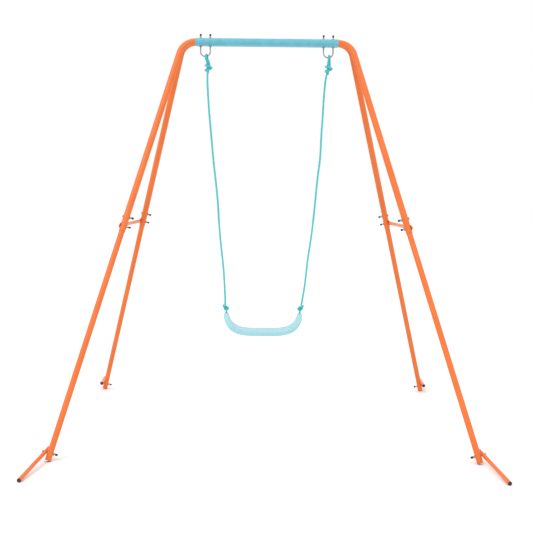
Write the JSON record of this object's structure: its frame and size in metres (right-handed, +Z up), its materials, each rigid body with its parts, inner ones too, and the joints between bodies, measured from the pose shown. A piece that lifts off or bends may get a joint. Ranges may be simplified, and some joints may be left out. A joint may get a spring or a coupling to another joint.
{
  "type": "swing set",
  "caption": "Garden swing with a splayed tube A-frame, sleeved top beam, rope-hung U-shaped seat and pivoting stabiliser feet.",
  "frame": {"origin": "on the ground under the middle of the top beam", "axes": "+X along the top beam to the right seen from the front, -Y towards the front, +Z up"},
  "size_m": [1.8352, 1.9472, 1.8],
  "materials": {
    "orange_powder_coat": "satin powder coat",
    "bare_steel": "plain",
    "zinc": "zinc plated",
    "sleeve_plastic": "satin",
    "black_plastic": "satin",
    "rope_turquoise": "twisted polyethylene fibre",
    "seat_plastic": "blow moulded"
  },
  "bodies": {
    "frame": {"upper_tube_front_left": "orange_powder_coat", "lower_leg_front_left": "orange_powder_coat", "upper_tube_front_right": "orange_powder_coat", "lower_leg_front_right": "orange_powder_coat", "upper_tube_rear_left": "orange_powder_coat", "lower_leg_rear_left": "orange_powder_coat", "upper_tube_rear_right": "orange_powder_coat", "lower_leg_rear_right": "orange_powder_coat", "beam_joiner_front": "bare_steel", "beam_joiner_rear": "bare_steel", "beam_sleeve": "sleeve_plastic", "saddle_plates": "zinc", "u_bolt_left": "zinc", "u_bolt_right": "zinc", "u_bolt_nuts": "zinc", "u_bolt_caps": "black_plastic", "spreader_bar_left": "orange_powder_coat", "spreader_bar_right": "orange_powder_coat", "joint_bolts": "zinc", "joint_bolt_nuts": "zinc", "joint_bolt_caps": "black_plastic", "spreader_bolts": "zinc", "spreader_bolt_nuts": "zinc", "spreader_bolt_caps": "black_plastic", "foot_bolts": "zinc", "foot_bolt_nuts": "zinc", "foot_bolt_caps": "black_plastic"},
    "ropes": {"rope_left": "rope_turquoise", "eye_loop_left": "rope_turquoise", "upper_knot_left": "rope_turquoise", "lower_knot_left": "rope_turquoise", "seat_anchor_left": "rope_turquoise", "rope_right": "rope_turquoise", "eye_loop_right": "rope_turquoise", "upper_knot_right": "rope_turquoise", "lower_knot_right": "rope_turquoise", "seat_anchor_right": "rope_turquoise"},
    "seat": {"seat": "seat_plastic"},
    "stabiliser_front_left": {"stabiliser_front_left": "orange_powder_coat", "stabiliser_front_left_plugs": "black_plastic"},
    "stabiliser_front_right": {"stabiliser_front_right": "orange_powder_coat", "stabiliser_front_right_plugs": "black_plastic"},
    "stabiliser_rear_left": {"stabiliser_rear_left": "orange_powder_coat", "stabiliser_rear_left_plugs": "black_plastic"},
    "stabiliser_rear_right": {"stabiliser_rear_right": "orange_powder_coat", "stabiliser_rear_right_plugs": "black_plastic"}
  },
  "joints": [
    {"name": "swing", "type": "hinge", "parent": "frame", "child": "ropes", "pos_m": [0, 0, 1.698], "axis": [1, 0, 0], "range_deg": [-60, 60]},
    {"name": "seat_tilt", "type": "hinge", "parent": "ropes", "child": "seat", "pos_m": [0, 0, 0.503], "axis": [1, 0, 0], "range_deg": [-25, 25]},
    {"name": "stabiliser_front_left_fold", "type": "hinge", "parent": "frame", "child": "stabiliser_front_left", "pos_m": [-0.87674, -0.68593, 0.03634], "axis": [-0.969, 0.0892, 0.2304], "range_deg": [0, 110]},
    {"name": "stabiliser_front_right_fold", "type": "hinge", "parent": "frame", "child": "stabiliser_front_right", "pos_m": [0.87674, -0.68593, 0.03634], "axis": [-0.969, -0.0892, -0.2304], "range_deg": [0, 110]},
    {"name": "stabiliser_rear_left_fold", "type": "hinge", "parent": "frame", "child": "stabiliser_rear_left", "pos_m": [-0.87674, 0.68593, 0.03634], "axis": [0.969, 0.0892, -0.2304], "range_deg": [0, 110]},
    {"name": "stabiliser_rear_right_fold", "type": "hinge", "parent": "frame", "child": "stabiliser_rear_right", "pos_m": [0.87674, 0.68593, 0.03634], "axis": [0.969, -0.0892, 0.2304], "range_deg": [0, 110]}
  ]
}
